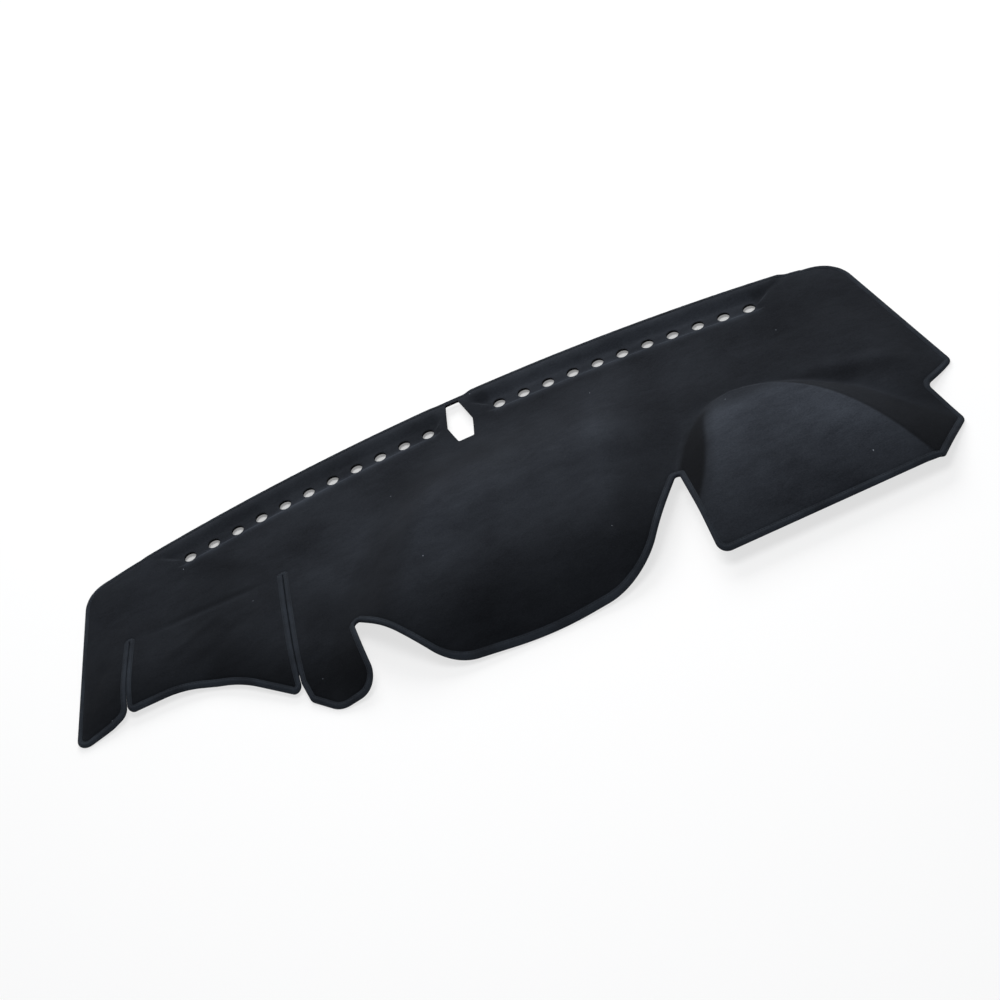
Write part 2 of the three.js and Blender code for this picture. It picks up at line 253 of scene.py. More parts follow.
# The view's middle in the pattern's frame, on the plateau a little in front of the box's centre
VIEW_MIDDLE = (5.7, -301.0, 30.0)
LENS = 76.8
FLOOR_REACH = 9.0


def rgb(hex_colour):
    """Turns an sRGB hex value into the linear colour that Blender's sockets hold."""
    parts = [int(hex_colour[place:place + 2], 16) / 255 for place in (1, 3, 5)]
    linear = [part / 12.92 if part <= 0.04045 else ((part + 0.055) / 1.055) ** 2.4 for part in parts]
    return (*linear, 1.0)


def smooth_rise(value):
    t = np.clip(value, 0.0, 1.0)
    return t * t * (3.0 - 2.0 * t)


def smooth_max(a, b, blend):
    h = np.maximum(blend - np.abs(a - b), 0.0) / blend
    return np.maximum(a, b) + h * h * blend / 4.0


def smooth_min(a, b, blend):
    return -smooth_max(-a, -b, blend)


def right_of(a, b, x, y):
    """Signed distance to the right of the line from a to b."""
    length = math.hypot(b[0] - a[0], b[1] - a[1])
    return ((x - a[0]) * (b[1] - a[1]) - (y - a[1]) * (b[0] - a[0])) / length


def screen_y(x):
    """The windscreen edge at x."""
    return np.sqrt(SCREEN_RADIUS ** 2 - (x - SCREEN_CENTRE_X) ** 2) - SCREEN_RADIUS


LEFT_FAR = (LEFT_FAR_X, float(screen_y(LEFT_FAR_X)))
RIGHT_FAR = (RIGHT_FAR_X, float(screen_y(RIGHT_FAR_X)))
FINGER_FOOT = (FINGER_LEFT_X, FINGER_DEPTH)
VENT_ROW_LENGTH = VENT_PITCH * (VENTS_PER_ROW - 1)
VENT_ROW_STARTS = (
    VENT_ROWS_CENTRE_X - VENT_ROWS_GAP / 2 - VENT_ROW_LENGTH,
    VENT_ROWS_CENTRE_X + VENT_ROWS_GAP / 2,
)


def vent_relief(x, depth):
    """Troughs that the vents are punched in: a steep step on the near side, a gentle far flange."""
    floor = TROUGH_FLOOR / 2
    near_step = smooth_rise((depth - VENT_ROW_DEPTH - floor) / TROUGH_NEAR_WALL)
    flange = smooth_rise((VENT_ROW_DEPTH - depth - floor) / TROUGH_FAR_WALL)
    trough = 1 - near_step - flange
    splay = np.maximum(0, VENT_ROW_DEPTH - depth)
    margin = VENT_DIAMETER / 2 + TROUGH_END_RAMP
    relief = 0
    for start, lift in zip(VENT_ROW_STARTS, FLANGE_LIFTS):
        end = start + VENT_ROW_LENGTH
        from_start = smooth_rise((x - start + margin + splay) / TROUGH_END_RAMP)
        from_end = smooth_rise((end + margin + splay - x) / TROUGH_END_RAMP)
        towards_window = x - WINDOW_X if start > WINDOW_X else WINDOW_X - x
        beside_window = smooth_rise((towards_window - WINDOW_WIDTH / 2) / TROUGH_END_RAMP)
        strength = from_start * from_end * beside_window
        relief = relief + strength * (lift * flange - TROUGH_DEPTH * trough)
    return relief


def roll(inside):
    """The sheet's roll down to a hem: 0 on the hem line and 1 well inside it."""
    return 1 - (1 - np.minimum(1, inside)) ** ROLL_POWER


def roll_down(x, y):
    left_end = roll(-right_of(LEFT_FAR, LEFT_NEAR, x, y) / END_ROLL)
    right_end = roll(right_of(RIGHT_FAR, RIGHT_NEAR, x, y) / END_ROLL)
    tab_side = roll(right_of(RIGHT_NEAR, TAB_TIP, x, y) / END_ROLL)
    near_side = roll((y - LOBE_DEPTH) / NEAR_ROLL)
    flap_hem = (y - LEFT_NEAR[1]) / FLAP_ROLL
    finger_hem = right_of(FINGER_FOOT, FLAP_HEM_LEVEL, x, y) / FLAP_ROLL
    left_side = roll(smooth_max(flap_hem, finger_hem, LEFT_HEM_BLEND))
    return left_end * right_end * tab_side * near_side * left_side


def crown(x, y, depth):
    """Broad crown over the middle of the dash, its flanks running to the two notches."""
    left_flank = LEFT_NOTCH[0] - CROWN_LEFT_SET - (LEFT_NOTCH[1] - y) * CROWN_LEFT_LEAN
    right_flank = RIGHT_NOTCH[0] + CROWN_RIGHT_SET + (y - RIGHT_NOTCH[1]) * CROWN_RIGHT_LEAN
    across = smooth_rise((x - left_flank) / CROWN_FLANK) * smooth_rise((right_flank - x) / CROWN_FLANK)
    return CROWN_RISE * across * smooth_rise((depth - CROWN_START) / CROWN_REACH)


def hood(x, y):
    reach = HOOD_ARCH_Y - y
    rise = 1 - ((reach - HOOD_PEAK_REACH) / HOOD_PEAK_REACH) ** 2
    top = HOOD_VALLEY_HEIGHT + HOOD_RISE * rise
    middle = HOOD_ARCH_X + HOOD_ARCH_LEAN * reach
    widening = np.sqrt(np.maximum(reach, 0))
    left_wall = HOOD_VALLEY_HEIGHT + (x - middle + HOOD_LEFT_SPREAD * widening) * HOOD_LEFT_SLOPE
    right_wall = top - (x - middle - HOOD_RIGHT_SPREAD * widening) * HOOD_RIGHT_SLOPE
    return smooth_min(smooth_min(top, left_wall, HOOD_TOP_BLEND), right_wall, HOOD_RIDGE_BLEND)


def soft_folds(x, y):
    """Shallow folds and creases, each fading out towards its own ends."""
    relief = 0
    for start, end, half_width, lift in SOFT_FOLDS:
        run = np.subtract(end, start)
        length = np.hypot(*run)
        along = ((x - start[0]) * run[0] + (y - start[1]) * run[1]) / length ** 2
        beside = right_of(start, end, x, y) / half_width
        ends = smooth_rise(along / 0.35) * smooth_rise((1 - along) / 0.35)
        relief = relief + lift * ends * np.exp(-beside ** 2)
    return relief


def dash_form(x, y, depth):
    """The form that the sheet takes from the dash, without its vent troughs."""
    plate = (FAR_RISE * (1 - np.exp(-np.maximum(depth, 0) / FAR_RISE_REACH))
             + PLATE_RISE * smooth_rise((depth - CROWN_START) / CROWN_REACH))
    return (plate + crown(x, y, depth)) * roll_down(x, y)


def sheet_height(x, y):
    """Middle surface of the moulded sheet."""
    depth = screen_y(x) - y
    base = dash_form(x, y, depth) + vent_relief(x, depth)
    return smooth_max(base, hood(x, y), HOOD_FOOT_BLEND)


def painted_form_shade(x, y):
    """How light the felt is painted against level felt: painted shade on slopes that face the driver or a
    side and on the hood's walls, painted light on the hood's top and beside the vents, and painted patches of
    both."""
    def relief(x, y):
        return smooth_max(dash_form(x, y, screen_y(x) - y), hood(x, y), HOOD_FOOT_BLEND) + soft_folds(x, y)

    step, (limit_y, limit_x) = SLOPE_SHADE_STEP, SLOPE_SHADE_LIMITS
    slope_x = (relief(x + step, y) - relief(x - step, y)) / (2 * step)
    slope_y = (relief(x, y + step) - relief(x, y - step)) / (2 * step)
    depth = screen_y(x) - y
    tone = np.exp(-SLOPE_SHADE_BACK * np.clip(slope_y, -limit_y, limit_y))
    up, down = np.clip(slope_x, 0, limit_x), np.clip(-slope_x, 0, limit_x)
    tone = tone * np.exp(-SLOPE_SHADE_LEFT * up - SLOPE_SHADE_RIGHT * down)
    # Painted light on the step beside the vents and on the far flanges, and the painted slope shade fades out
    # towards the far edge
    lip = np.exp(-((depth - VENT_LIP_DEPTH) / 8) ** 2)
    edge = smooth_rise(depth / 30)
    far_wall = np.exp(-((depth - VENT_ROW_DEPTH + 16) / 24) ** 2)
    row_light = np.zeros_like(tone)
    for start, far_light in zip(VENT_ROW_STARTS, VENT_FAR_LIGHTS):
        in_row = smooth_rise((x - start + 18) / 12) * smooth_rise((start + VENT_ROW_LENGTH + 18 - x) / 12)
        row_light += in_row * (VENT_LIP_LIGHT * lip + far_light * far_wall)
    above = hood(x, y) - dash_form(x, y, depth)
    steep = smooth_rise((np.abs(slope_x) - HOOD_WALL_SLOPE) / 0.15)
    tone = tone * edge + (1 - edge)
    # Painted light on the hood's top and painted shade on its steep walls
    tone = tone * (1 + HOOD_TOP_LIGHT * smooth_rise((above - 7) / 12) * (1 - steep))
    tone = tone * (1 - HOOD_WALL_SHADE * smooth_rise(above / 5) * steep)
    # Patches of painted light and shade
    for place_x, place_y, reach_x, reach_y, change in PAINTED_SHADE_PATCHES:
        tone = tone * (1 + change * np.exp(-((x - place_x) / reach_x) ** 2 - ((y - place_y) / reach_y) ** 2))
    return tone * (1 + row_light)


def mould(x, y, offset, relief=0):
    """Sets points of the flat pattern on the moulded form, each at its offset from the middle surface."""
    step = 0.5
    slope_x = (sheet_height(x + step, y) - sheet_height(x - step, y)) / (2 * step)
    slope_y = (sheet_height(x, y + step) - sheet_height(x, y - step)) / (2 * step)
    stretch = np.sqrt(1 + slope_x ** 2 + slope_y ** 2)
    return np.column_stack([x, y, sheet_height(x, y) + relief + offset * stretch])


def slit_sides(top, mouth):
    """The two sides of a slit, each as its top and its mouth."""
    run = np.subtract(mouth, top) / math.dist(mouth, top)
    side = np.array([-run[1], run[0]]) * SLIT_GAP / 2
    right = (np.add(top, side), np.add(mouth, side))
    left = (np.subtract(top, side), np.subtract(mouth, side))
    return right, left


def outline_corners():
    """Corners of the sheet's outline in order, each with the radius of its fillet."""
    long_right, long_left = slit_sides(LONG_SLIT_TOP, LONG_SLIT_MOUTH)
    short_right, short_left = slit_sides(SHORT_SLIT_TOP, SHORT_SLIT_MOUTH)
    end = SLIT_GAP / 2
    hip = long_right[0] * (1 - FINGER_HIP_SHARE) + long_right[1] * FINGER_HIP_SHARE
    return [
        (*LEFT_FAR, LEFT_FAR_RADIUS),
        (*RIGHT_FAR, RIGHT_FAR_RADIUS),
        (*RIGHT_NEAR, RIGHT_NEAR_RADIUS),
        (*TAB_NOTCH, TAB_NOTCH_RADIUS),
        (*TAB_TIP, TAB_TIP_RADIUS),
        (*HOOD_RIGHT, HOOD_RIGHT_RADIUS),
        (*HOOD_LEFT, HOOD_LEFT_RADIUS),
        (*RIGHT_NOTCH, NOTCH_RADIUS),
        (LOBE_RIGHT_X, LOBE_SHOULDER_Y, LOBE_RIGHT_RADIUS),
        ((LOBE_LEFT_X + LOBE_RIGHT_X) / 2, LOBE_DEPTH, LOBE_NEAR_RADIUS),
        (LOBE_LEFT_X, LOBE_SHOULDER_Y, LOBE_LEFT_RADIUS),
        (*LEFT_NOTCH, NOTCH_RADIUS),
        (FINGER_RIGHT_X, FINGER_DEPTH, FINGER_RADIUS),
        (*FINGER_FOOT, FINGER_RADIUS),
        FINGER_HEEL,
        (*hip, FINGER_HIP_RADIUS),
        (*long_right[0], end),
        (*long_left[0], end),
        (*long_left[1], SLIT_MOUTH_RADIUS),
        FLAP_HEM_STEEP,
        FLAP_HEM_LEVEL,
        (*short_right[1], SLIT_MOUTH_RADIUS),
        (*short_right[0], end),
        (*short_left[0], end),
        (*short_left[1], STRIP_FOOT_RADIUS),
        (*STRIP_FOOT, STRIP_FOOT_RADIUS),
        (*LEFT_NEAR, LEFT_NEAR_RADIUS),
    ]


def arc(centre, start, end, clockwise, step):
    """Points of an arc from start up to, and without, its end."""
    radius = math.dist(centre, start)
    first = math.atan2(start[1] - centre[1], start[0] - centre[0])
    last = math.atan2(end[1] - centre[1], end[0] - centre[0])
    sweep = (first - last if clockwise else last - first) % (2 * math.pi)
    count = max(2, math.ceil(sweep * radius / min(step, radius * 0.35)))
    turn = (-sweep if clockwise else sweep) / count
    angles = first + turn * np.arange(count)
    return np.column_stack([centre[0] + radius * np.cos(angles), centre[1] + radius * np.sin(angles)])


def straight(start, end, step):
    """Points of a straight run from start up to, and without, its end."""
    count = max(1, math.ceil(math.dist(start, end) / step))
    share = (np.arange(count) / count)[:, None]
    return np.asarray(start) * (1 - share) + np.asarray(end) * share


def filleted(corners, step, screen_arc=False):
    """A closed outline through filleted corners; screen_arc bends its first side to the windscreen."""
    fillets = []
    for index, corner in enumerate(corners):
        point = np.array(corner[:2])
        to_before = np.array(corners[index - 1][:2]) - point
        to_after = np.array(corners[(index + 1) % len(corners)][:2]) - point
        before, after = np.linalg.norm(to_before), np.linalg.norm(to_after)
        to_before, to_after = to_before / before, to_after / after
        turn = math.pi - math.acos(np.clip(to_before @ to_after, -1, 1))
        back = min(corner[2] * math.tan(turn / 2), 0.49 * before, 0.49 * after)
        radius = back / math.tan(turn / 2)
        left = to_before[0] * to_after[1] - to_before[1] * to_after[0] < 0
        start, end = point + to_before * back, point + to_after * back
        heading = -to_before
        side = np.array([-heading[1], heading[0]]) * (radius if left else -radius)
        fillets.append((start, end, start + side, not left))
    points = []
    for index, (start, end, centre, clockwise) in enumerate(fillets):
        following = fillets[(index + 1) % len(fillets)][0]
        points.append(arc(centre, start, end, clockwise, step))
        if screen_arc and index == 0:
            middle = (SCREEN_CENTRE_X, -SCREEN_RADIUS)
            points.append(arc(middle, end, following, True, step * 2))
        else:
            points.append(straight(end, following, step * 2))
    return np.vstack(points)


def outward_normals(outline):
    """Outward direction at each point in plan, scaled so that offsets stay parallel."""
    ahead = np.roll(outline, -1, axis=0) - outline
    ahead /= np.linalg.norm(ahead, axis=1)[:, None]
    behind = np.roll(ahead, 1, axis=0)
    side = np.column_stack([-behind[:, 1], behind[:, 0]])
    normal = np.column_stack([-(ahead + behind)[:, 1], (ahead + behind)[:, 0]])
    normal /= np.linalg.norm(normal, axis=1)[:, None]
    return normal / np.maximum((normal * side).sum(axis=1), 0.5)[:, None]


def distance_to(loop, x, y):
    """Distance from each point to a closed loop, and whether the point lies inside it."""
    points = np.column_stack([x, y])
    start, end = loop, np.roll(loop, -1, axis=0)
    run = end - start
    square = (run ** 2).sum(axis=1)
    nearest = np.empty(len(points))
    inside = np.empty(len(points), dtype=bool)
    for first in range(0, len(points), 2000):
        part = points[first:first + 2000, None, :]
        share = np.clip(((part - start) * run).sum(axis=2) / square, 0, 1)
        away = part - start - share[..., None] * run
        nearest[first:first + 2000] = np.sqrt((away ** 2).sum(axis=2).min(axis=1))
        spans = (start[:, 1] > part[..., 1]) != (end[:, 1] > part[..., 1])
        with np.errstate(divide="ignore", invalid="ignore"):
            crossing = start[:, 0] + (part[..., 1] - start[:, 1]) * run[:, 0] / run[:, 1]
        inside[first:first + 2000] = (spans & (part[..., 0] < crossing)).sum(axis=1) % 2 == 1
    return nearest, inside


def vent_loops():
    """Outline of each round vent, with its centre on the row's arc."""
    sides = 28
    angles = 2 * np.pi * np.arange(sides) / sides
    loops = []
    for start in VENT_ROW_STARTS:
        for index in range(VENTS_PER_ROW):
            x = start + VENT_PITCH * index
            y = float(screen_y(x)) - VENT_ROW_DEPTH
            radius = VENT_DIAMETER / 2
            loops.append(np.column_stack([x + radius * np.cos(angles), y + radius * np.sin(angles)]))
    return loops


def window_loop():
    rows = (
        (WINDOW_FAR_WIDTH, WINDOW_FAR_Y),
        (WINDOW_WIDTH, WINDOW_FAR_Y - WINDOW_WAIST_SHARE * WINDOW_LENGTH),
        (WINDOW_NEAR_WIDTH, WINDOW_FAR_Y - WINDOW_LENGTH),
    )
    corners = [(WINDOW_X - width / 2, y) for width, y in rows]
    corners += [(WINDOW_X + width / 2, y) for width, y in reversed(rows)]
    return filleted([(*corner, WINDOW_CORNER_RADIUS) for corner in corners], 1.5)


def length_along(loop):
    """Distance along a closed loop at each of its points, and at its end."""
    steps = np.linalg.norm(np.roll(loop, -1, axis=0) - loop, axis=1)
    return np.concatenate([[0], np.cumsum(steps)])


def shrunk(loop, distance):
    """The loop moved by a distance along its outward normals."""
    return loop + outward_normals(loop) * distance


def form_shift():
    """Moves the pattern's own origin to its place in the frame, in millimetres."""
    outline = filleted(outline_corners(), 2.0, screen_arc=True)
    middle = (outline.min(axis=0) + outline.max(axis=0)) / 2
    foot = outline + outward_normals(outline) * CHANNEL_BACK
    lowest = mould(foot[:, 0], foot[:, 1], -CHANNEL_HALF)[:, 2].min()
    low, high = BINDING_BOX
    centre = (low + high) / 2 / MM
    return np.array([centre.x - middle[0], centre.y - middle[1], low.z / MM - lowest])


SHIFT = form_shift()


def new_piece(name, vertices, faces, materials, smooth_angle=40):
    """Makes one mesh object from millimetres of the flat pattern's frame and rides it on the body."""
    mesh = bpy.data.meshes.new(name)
    mesh.from_pydata(((np.asarray(vertices) + SHIFT) * MM).tolist(), [], faces)
    mesh.shade_smooth()
    mesh.set_sharp_from_angle(angle=math.radians(smooth_angle))
    for material in materials:
        mesh.materials.append(material)
    piece = bpy.data.objects.new(name, mesh)
    bpy.context.scene.collection.objects.link(piece)
    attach(piece, BODY)
    return piece


def add_node(tree, kind, inputs=None, **settings):
    """Adds a node with its settings; an input is a value or the socket that feeds it."""
    node = tree.nodes.new(kind)
    for name, value in settings.items():
        setattr(node, name, value)
    for name, value in (inputs or {}).items():
        if isinstance(value, bpy.types.NodeSocket):
            tree.links.new(value, node.inputs[name])
        else:
            node.inputs[name].default_value = value
    return node


def new_material(name):
    """An empty node material with only its output."""
    material = bpy.data.materials.new(name)
    material.use_nodes = True
    material.node_tree.nodes.clear()
    output = add_node(material.node_tree, "ShaderNodeOutputMaterial")
    return material, material.node_tree, output


def sheet_grid(outline, holes, pitch):
    """Hexagonal points inside the outline: close together where the form bends, wide where it is flat."""
    fine = pitch / 2
    low, high = outline.min(axis=0), outline.max(axis=0)
    row_step = fine * math.sqrt(3) / 2
    rows = np.arange(low[1], high[1], row_step)
    columns = np.arange(low[0], high[0], fine)
    row_index, column_index = np.meshgrid(np.arange(len(rows)), np.arange(len(columns)), indexing="ij")
    x = columns[column_index] + fine / 2 * (row_index % 2)
    y = rows[row_index]
    wide = (row_index % 2 == 0) & ((column_index + row_index // 2) % 2 == 0)
    bend = pitch
    form = sheet_height(x, y)
    bends = (np.abs(sheet_height(x + bend, y) + sheet_height(x - bend, y) - 2 * form)
             + np.abs(sheet_height(x, y + bend) + sheet_height(x, y - bend) - 2 * form))
    keep = wide | (bends > 0.42)
    x, y = x[keep], y[keep]
    away, inside = distance_to(outline, x, y)
    keep = inside & (away > fine * 0.8)
    for hole in holes:
        centre, reach = hole.mean(axis=0), np.linalg.norm(hole - hole.mean(axis=0), axis=1).max()
        close = keep & (np.hypot(x - centre[0], y - centre[1]) < reach + 2 * fine)
        if close.any():
            away, inside = distance_to(hole, x[close], y[close])
            keep[close] = ~inside & (away > fine * 0.8)
    return np.column_stack([x[keep], y[keep]])


def pile_waves(points, size):
    """Slow unevenness of a felt that has been rolled up, in millimetres."""
    waves = np.empty(len(points))
    for index, (x, y) in enumerate(points):
        broad = noise.noise((x / 85, y / 60, 3.1))
        narrow = noise.noise((x / 24, y / 17, 8.4))
        waves[index] = broad + 0.35 * narrow
    return waves * size


def brushed_felt(settings):
    """Needle-punched polyester felt, brushed: a matt near-black pile whose fibre tips catch light
    at a grazing angle, with soft darker and lighter strokes where the pile leans another way."""
    material, tree, output = new_material("brushed_polyester_felt")
    place = add_node(tree, "ShaderNodeTexCoord").outputs["Object"]
    # Painted shade and light from the sheet's form, kept as a point attribute
    painted_shade = add_node(tree, "ShaderNodeAttribute", attribute_name="painted_form_shade").outputs["Fac"]
    combed = add_node(tree, "ShaderNodeMapping", {
        "Vector": place, "Scale": (0.45, 1.0, 1.0),
    }).outputs["Vector"]
    # Fibre tufts are about 0.3 mm across, drawn 1.3 mm wide so that they show from a step away
    tufts = add_node(tree, "ShaderNodeTexNoise", {
        "Vector": combed, "Scale": 1 / 0.0013, "Detail": 3.0, "Roughness": 0.65,
    }).outputs["Fac"]
    strokes = add_node(tree, "ShaderNodeTexNoise", {
        "Vector": combed, "Scale": 1 / 0.012, "Detail": 4.0, "Roughness": 0.6, "Distortion": 0.6,
    }).outputs["Fac"]
    clouds = add_node(tree, "ShaderNodeTexNoise", {
        "Vector": place, "Scale": 1 / 0.11, "Detail": 2.0, "Roughness": 0.5,
    }).outputs["Fac"]
    lean = add_node(tree, "ShaderNodeMath", {
        0: strokes, 1: 0.5, 2: clouds,
    }, operation="MULTIPLY_ADD").outputs[0]
    mottle = add_node(tree, "ShaderNodeMath", {0: tufts, 1: lean}, operation="ADD").outputs[0]
    share = add_node(tree, "ShaderNodeMapRange", {
        "Value": mottle, "From Min": 0.85, "From Max": 1.65, "To Min": 0.0, "To Max": 1.0,
    }).outputs["Result"]
    pile = add_node(tree, "ShaderNodeMix", {
        "Factor": share, "A": rgb(settings["valley"]), "B": rgb(settings["tip"]),
    }, data_type="RGBA")
    # A few specks of pale lint, one to each 240 mm square at most, about 1.6 mm across
    specks = add_node(tree, "ShaderNodeTexVoronoi", {
        "Vector": place, "Scale": 1 / 0.24, "Randomness": 1.0,
    }, voronoi_dimensions="2D")
    near = add_node(tree, "ShaderNodeMath", {
        0: specks.outputs["Distance"], 1: 0.0008 / 0.24,
    }, operation="LESS_THAN").outputs[0]
    felt = add_node(tree, "ShaderNodeMix", {
        "Factor": near, "A": pile.outputs["Result"], "B": rgb("#6b7078"),
    }, data_type="RGBA")
    # The felt's colour is scaled by that painted shade and light
    laid = add_node(tree, "ShaderNodeVectorMath", {
        0: felt.outputs["Result"], "Scale": painted_shade,
    }, operation="SCALE").outputs["Vector"]
    nap = add_node(tree, "ShaderNodeBump", {"Height": mottle, "Strength": 0.55, "Distance": 0.0007})
    shader = add_node(tree, "ShaderNodeBsdfPrincipled", {
        "Base Color": laid,
        "Roughness": 0.92,
        "Specular IOR Level": 0.05,
        "Sheen Weight": settings["sheen"],
        "Sheen Roughness": 0.42,
        "Sheen Tint": rgb(settings["sheen_colour"]),
        "Normal": nap.outputs["Normal"],
    })
    tree.links.new(shader.outputs["BSDF"], output.inputs["Surface"])
    return material


def cut_felt():
    """The punched wall of a vent or the window: a cut section of black fibres, dull and close, darkened
    further as painted shade inside the holes.
    """
    material, tree, output = new_material("cut_felt_edge")
    place = add_node(tree, "ShaderNodeTexCoord").outputs["Object"]
    # Cut fibre ends lie in layers of about 0.4 mm through the sheet's thickness
    layered = add_node(tree, "ShaderNodeMapping", {
        "Vector": place, "Scale": (1.0, 1.0, 4.0),
    }).outputs["Vector"]
    ends = add_node(tree, "ShaderNodeTexNoise", {
        "Vector": layered, "Scale": 1 / 0.0016, "Detail": 3.0, "Roughness": 0.7,
    }).outputs["Fac"]
    # Darker than the pile: partly the cut fibre ends' own colour, partly painted shade inside the holes
    tone = add_node(tree, "ShaderNodeMix", {
        "Factor": ends, "A": rgb("#050506"), "B": rgb("#0f1012"),
    }, data_type="RGBA")
    grain = add_node(tree, "ShaderNodeBump", {"Height": ends, "Strength": 0.6, "Distance": 0.0005})
    shader = add_node(tree, "ShaderNodeBsdfPrincipled", {
        "Base Color": tone.outputs["Result"],
        "Roughness": 0.97,
        "Specular IOR Level": 0.1,
        "Normal": grain.outputs["Normal"],
    })
    tree.links.new(shader.outputs["BSDF"], output.inputs["Surface"])
    return material


def woven_tape(settings):
    """Grosgrain polyester tape: fine dull ribs across the tape, a shade lighter than the felt."""
    material, tree, output = new_material("woven_polyester_tape")
    lay = add_node(tree, "ShaderNodeUVMap", uv_map="tape").outputs["UV"]
    # Ribs stand 1.1 mm apart along the tape; the map runs in millimetres, along and across
    ribs = add_node(tree, "ShaderNodeTexWave", {
        "Vector": lay, "Scale": 2 * math.pi / 20 / 1.1, "Distortion": 0.8, "Detail": 1.0,
    }, wave_type="BANDS", bands_direction="X", wave_profile="SIN").outputs["Fac"]
    threads = add_node(tree, "ShaderNodeTexNoise", {
        "Vector": lay, "Scale": 0.9, "Detail": 3.0, "Roughness": 0.6,
    }).outputs["Fac"]
    place = add_node(tree, "ShaderNodeTexCoord").outputs["Object"]
    wear = add_node(tree, "ShaderNodeTexNoise", {
        "Vector": place, "Scale": 1 / 0.05, "Detail": 3.0, "Roughness": 0.55,
    }).outputs["Fac"]
    weave = add_node(tree, "ShaderNodeMath", {0: ribs, 1: threads}, operation="MULTIPLY").outputs[0]
    mixed = add_node(tree, "ShaderNodeMath", {0: weave, 1: wear}, operation="ADD").outputs[0]
    share = add_node(tree, "ShaderNodeMapRange", {
        "Value": mixed, "From Min": 0.35, "From Max": 1.1, "To Min": 0.0, "To Max": 1.0,
    }).outputs["Result"]
    tone = add_node(tree, "ShaderNodeMix", {
        "Factor": share, "A": rgb(settings["shade"]), "B": rgb(settings["light"]),
    }, data_type="RGBA")
    relief = add_node(tree, "ShaderNodeBump", {"Height": weave, "Strength": 0.5, "Distance": 0.0004})
    shader = add_node(tree, "ShaderNodeBsdfPrincipled", {
        "Base Color": tone.outputs["Result"],
        "Roughness": 0.8,
        "Specular IOR Level": 0.05,
        "Sheen Weight": 0.01,
        "Sheen Roughness": 0.4,
        "Sheen Tint": rgb("#a8b2c4"),
        "Normal": relief.outputs["Normal"],
    })
    tree.links.new(shader.outputs["BSDF"], output.inputs["Surface"])
    return material


def spun_thread():
    """Black spun polyester sewing thread: two plies, a little shinier than the felt."""
    material, tree, output = new_material("spun_polyester_thread")
    place = add_node(tree, "ShaderNodeTexCoord").outputs["Object"]
    # The plies turn about every 0.8 mm
    plies = add_node(tree, "ShaderNodeTexNoise", {
        "Vector": place, "Scale": 1 / 0.0008, "Detail": 2.0, "Roughness": 0.5,
    }).outputs["Fac"]
    tone = add_node(tree, "ShaderNodeMix", {
        "Factor": plies, "A": rgb("#050506"), "B": rgb("#0d0e10"),
    }, data_type="RGBA")
    twist = add_node(tree, "ShaderNodeBump", {"Height": plies, "Strength": 0.5, "Distance": 0.0003})
    shader = add_node(tree, "ShaderNodeBsdfPrincipled", {
        "Base Color": tone.outputs["Result"],
        "Roughness": 0.7,
        "Specular IOR Level": 0.1,
        "Normal": twist.outputs["Normal"],
    })
    tree.links.new(shader.outputs["BSDF"], output.inputs["Surface"])
    return material


def hex_of(colour):
    """The hex value of a colour that a property holds in sRGB."""
    return "#" + "".join(f"{round(255 * part):02x}" for part in colour[:3])


def colour_property(name, description, hex_colour):
    """A property that holds an sRGB colour, with a hex value as its default."""
    shares = tuple(int(hex_colour[place:place + 2], 16) / 255 for place in (1, 3, 5))
    return FloatVectorProperty(name=name, description=description, default=shares,
                               subtype="COLOR_GAMMA", size=3, min=0.0, max=1.0)


class FeltSizes(bpy.types.PropertyGroup):
    """Sizes and colours of the felt sheet."""
    thickness: FloatProperty(
        name="Thickness", description="Thickness of the felt away from its pressed rim",
        default=5.0 * MM, min=2.0 * MM, max=8.0 * MM, unit="LENGTH")
    grid: FloatProperty(
        name="Grid", description="Widest step of the sheet's mesh",
        default=5.4 * MM, min=3.0 * MM, max=20.0 * MM, unit="LENGTH")
    waviness: FloatProperty(
        name="Waviness", description="Height of the slow unevenness of the laid felt",
        default=0.3 * MM, min=0.0, max=2.0 * MM, unit="LENGTH")
    pile_valley: colour_property("Pile Valley", "Colour between the fibre tufts", "#101216")
    pile_tip: colour_property("Pile Tip", "Colour of the fibre tips", "#23262b")
    sheen: FloatProperty(
        name="Sheen", description="How much light the pile returns at a grazing angle",
        default=0.06, min=0.0, max=1.0, subtype="FACTOR")
    sheen_colour: colour_property("Sheen Colour", "Colour of that light", "#b4bccd")


class BindingSizes(bpy.types.PropertyGroup):
    """Sizes and colours of the binding tape and its stitches."""
    width: FloatProperty(
        name="Tape Width", description="Width of the tape that shows on each face",
        default=7.0 * MM, min=4.0 * MM, max=15.0 * MM, unit="LENGTH")
    bulge: FloatProperty(
        name="Bulge", description="Height of the folded tape above the pressed rim",
        default=1.65 * MM, min=0.5 * MM, max=3.0 * MM, unit="LENGTH")
    stitch_length: FloatProperty(
        name="Stitch Length", description="Length of one lockstitch",
        default=3.4 * MM, min=1.5 * MM, max=8.0 * MM, unit="LENGTH")
    stitch_sides: IntProperty(
        name="Stitch Sides", description="Sides of a stitch's section", default=5, min=3, max=12)
    tape_shade: colour_property("Tape Shade", "Colour between the tape's ribs", "#14161a")
    tape_light: colour_property("Tape Light", "Colour of the tape's ribs", "#2c3138")


